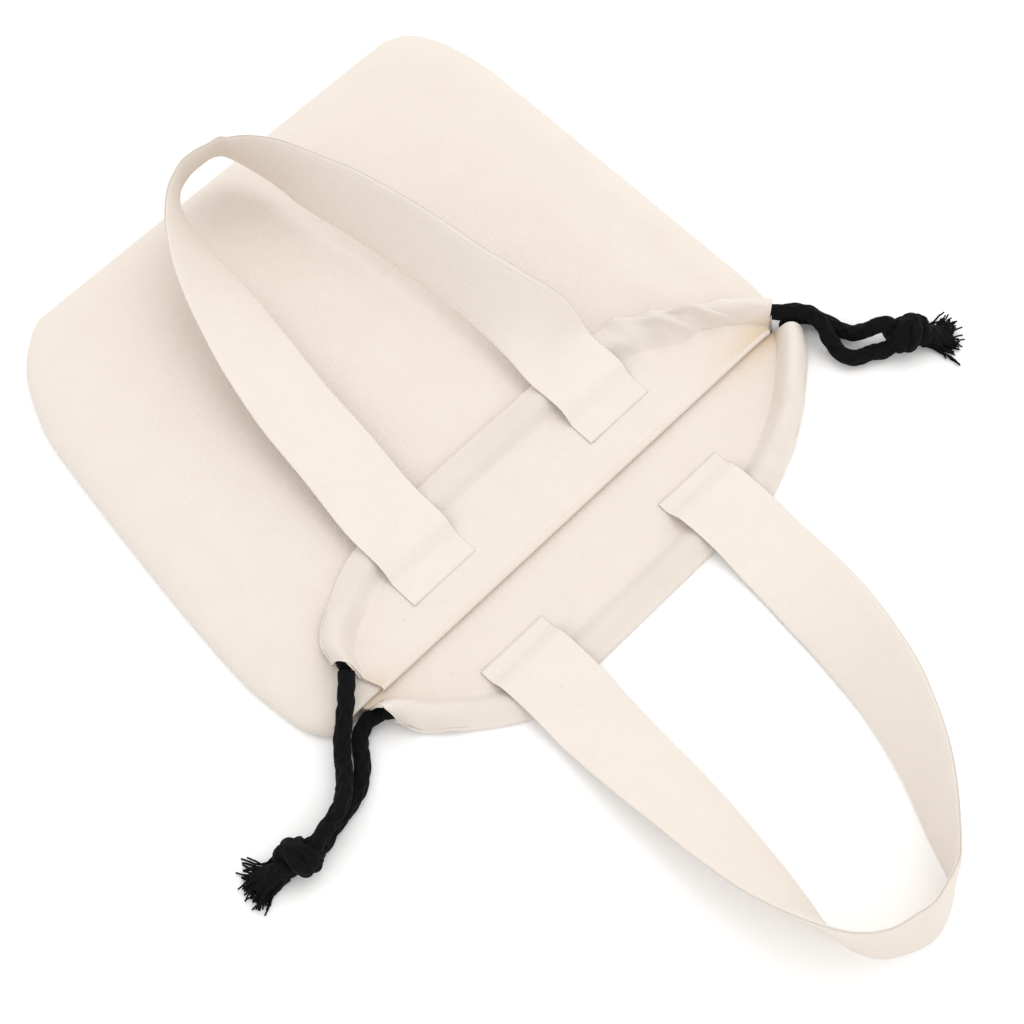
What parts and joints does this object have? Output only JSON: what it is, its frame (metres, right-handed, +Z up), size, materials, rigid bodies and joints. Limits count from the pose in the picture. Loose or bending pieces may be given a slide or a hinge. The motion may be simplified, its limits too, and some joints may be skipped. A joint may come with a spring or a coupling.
{
  "type": "canvas drawstring bag",
  "caption": "Flat canvas pouch lying open with turned-out rims, webbing hand straps and black drawcords knotted and frayed at each side.",
  "frame": {"origin": "middle of the flat underside of the back panel, on the floor", "axes": "+X along the mouth, +Y from the mouth towards the closed bottom, +Z up off the floor"},
  "size_m": [0.3434, 0.3895, 0.0503],
  "materials": {
    "canvas": "matte plain-weave cotton canvas",
    "hem": "matte cotton canvas, drawn up round the cord",
    "webbing": "matte folded cotton strap with stitched edges",
    "cord": "matte black braided cotton"
  },
  "bodies": {
    "root": {"bag_body": "canvas", "front_channel": "hem", "back_channel": "hem", "front_cord_held": "cord", "back_cord_held": "cord", "front_strap": "webbing", "back_strap": "webbing", "cord_right_front": "cord", "cord_right_back": "cord", "cord_left_front": "cord", "cord_left_back": "cord", "right_knot": "cord", "right_tassel": "cord", "left_knot": "cord", "left_tassel": "cord"}
  },
  "joints": []
}
